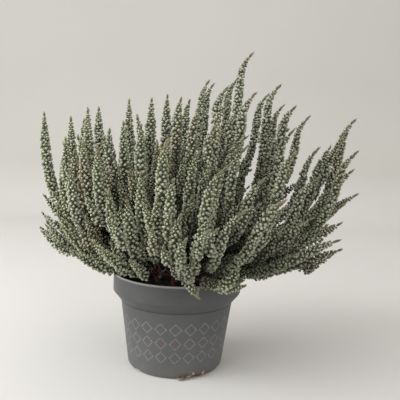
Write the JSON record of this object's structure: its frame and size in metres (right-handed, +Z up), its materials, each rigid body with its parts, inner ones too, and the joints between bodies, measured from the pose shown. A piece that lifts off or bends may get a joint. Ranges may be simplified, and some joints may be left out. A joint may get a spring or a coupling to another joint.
{
  "type": "potted heather",
  "caption": "Bushy silver-green heather with upright, closely leaved shoots, growing in soil in a round tapered plastic pot with a deep rim band.",
  "frame": {"origin": "centre of the pot's foot, on the surface it stands on", "axes": "+Z up along the pot's axis, -Y towards the side seen in the picture, +X to the right in it, the way the plant leans"},
  "size_m": [0.329, 0.2813, 0.318],
  "materials": {
    "pot": "satin dark grey plastic",
    "soil": "damp dark peat",
    "bark": "matt reddish-brown bark",
    "leaf": "matt silver-green leaves"
  },
  "bodies": {
    "root": {"pot": "pot", "soil": "soil", "woody_stem_1": "bark", "woody_stem_2": "bark", "woody_stem_3": "bark", "woody_stem_4": "bark", "woody_stem_5": "bark", "woody_stem_6": "bark", "woody_stem_7": "bark", "spray_01": "leaf", "spray_02": "leaf", "spray_03": "leaf", "spray_04": "leaf", "spray_05": "leaf", "spray_06": "leaf", "spray_07": "leaf", "spray_08": "leaf", "spray_09": "leaf", "spray_10": "leaf", "spray_11": "leaf", "spray_12": "leaf", "spray_13": "leaf", "spray_14": "leaf", "spray_15": "leaf", "spray_16": "leaf", "spray_17": "leaf", "spray_18": "leaf", "spray_19": "leaf", "spray_20": "leaf", "spray_21": "leaf", "spray_22": "leaf", "spray_23": "leaf", "spray_24": "leaf", "spray_25": "leaf", "spray_26": "leaf", "spray_27": "leaf", "spray_28": "leaf", "spray_29": "leaf", "spray_30": "leaf", "spray_31": "leaf", "spray_32": "leaf", "spray_33": "leaf", "spray_34": "leaf", "spray_35": "leaf", "spray_36": "leaf", "spray_37": "leaf", "spray_38": "leaf", "spray_39": "leaf", "spray_40": "leaf", "spray_41": "leaf", "spray_42": "leaf"}
  },
  "joints": []
}
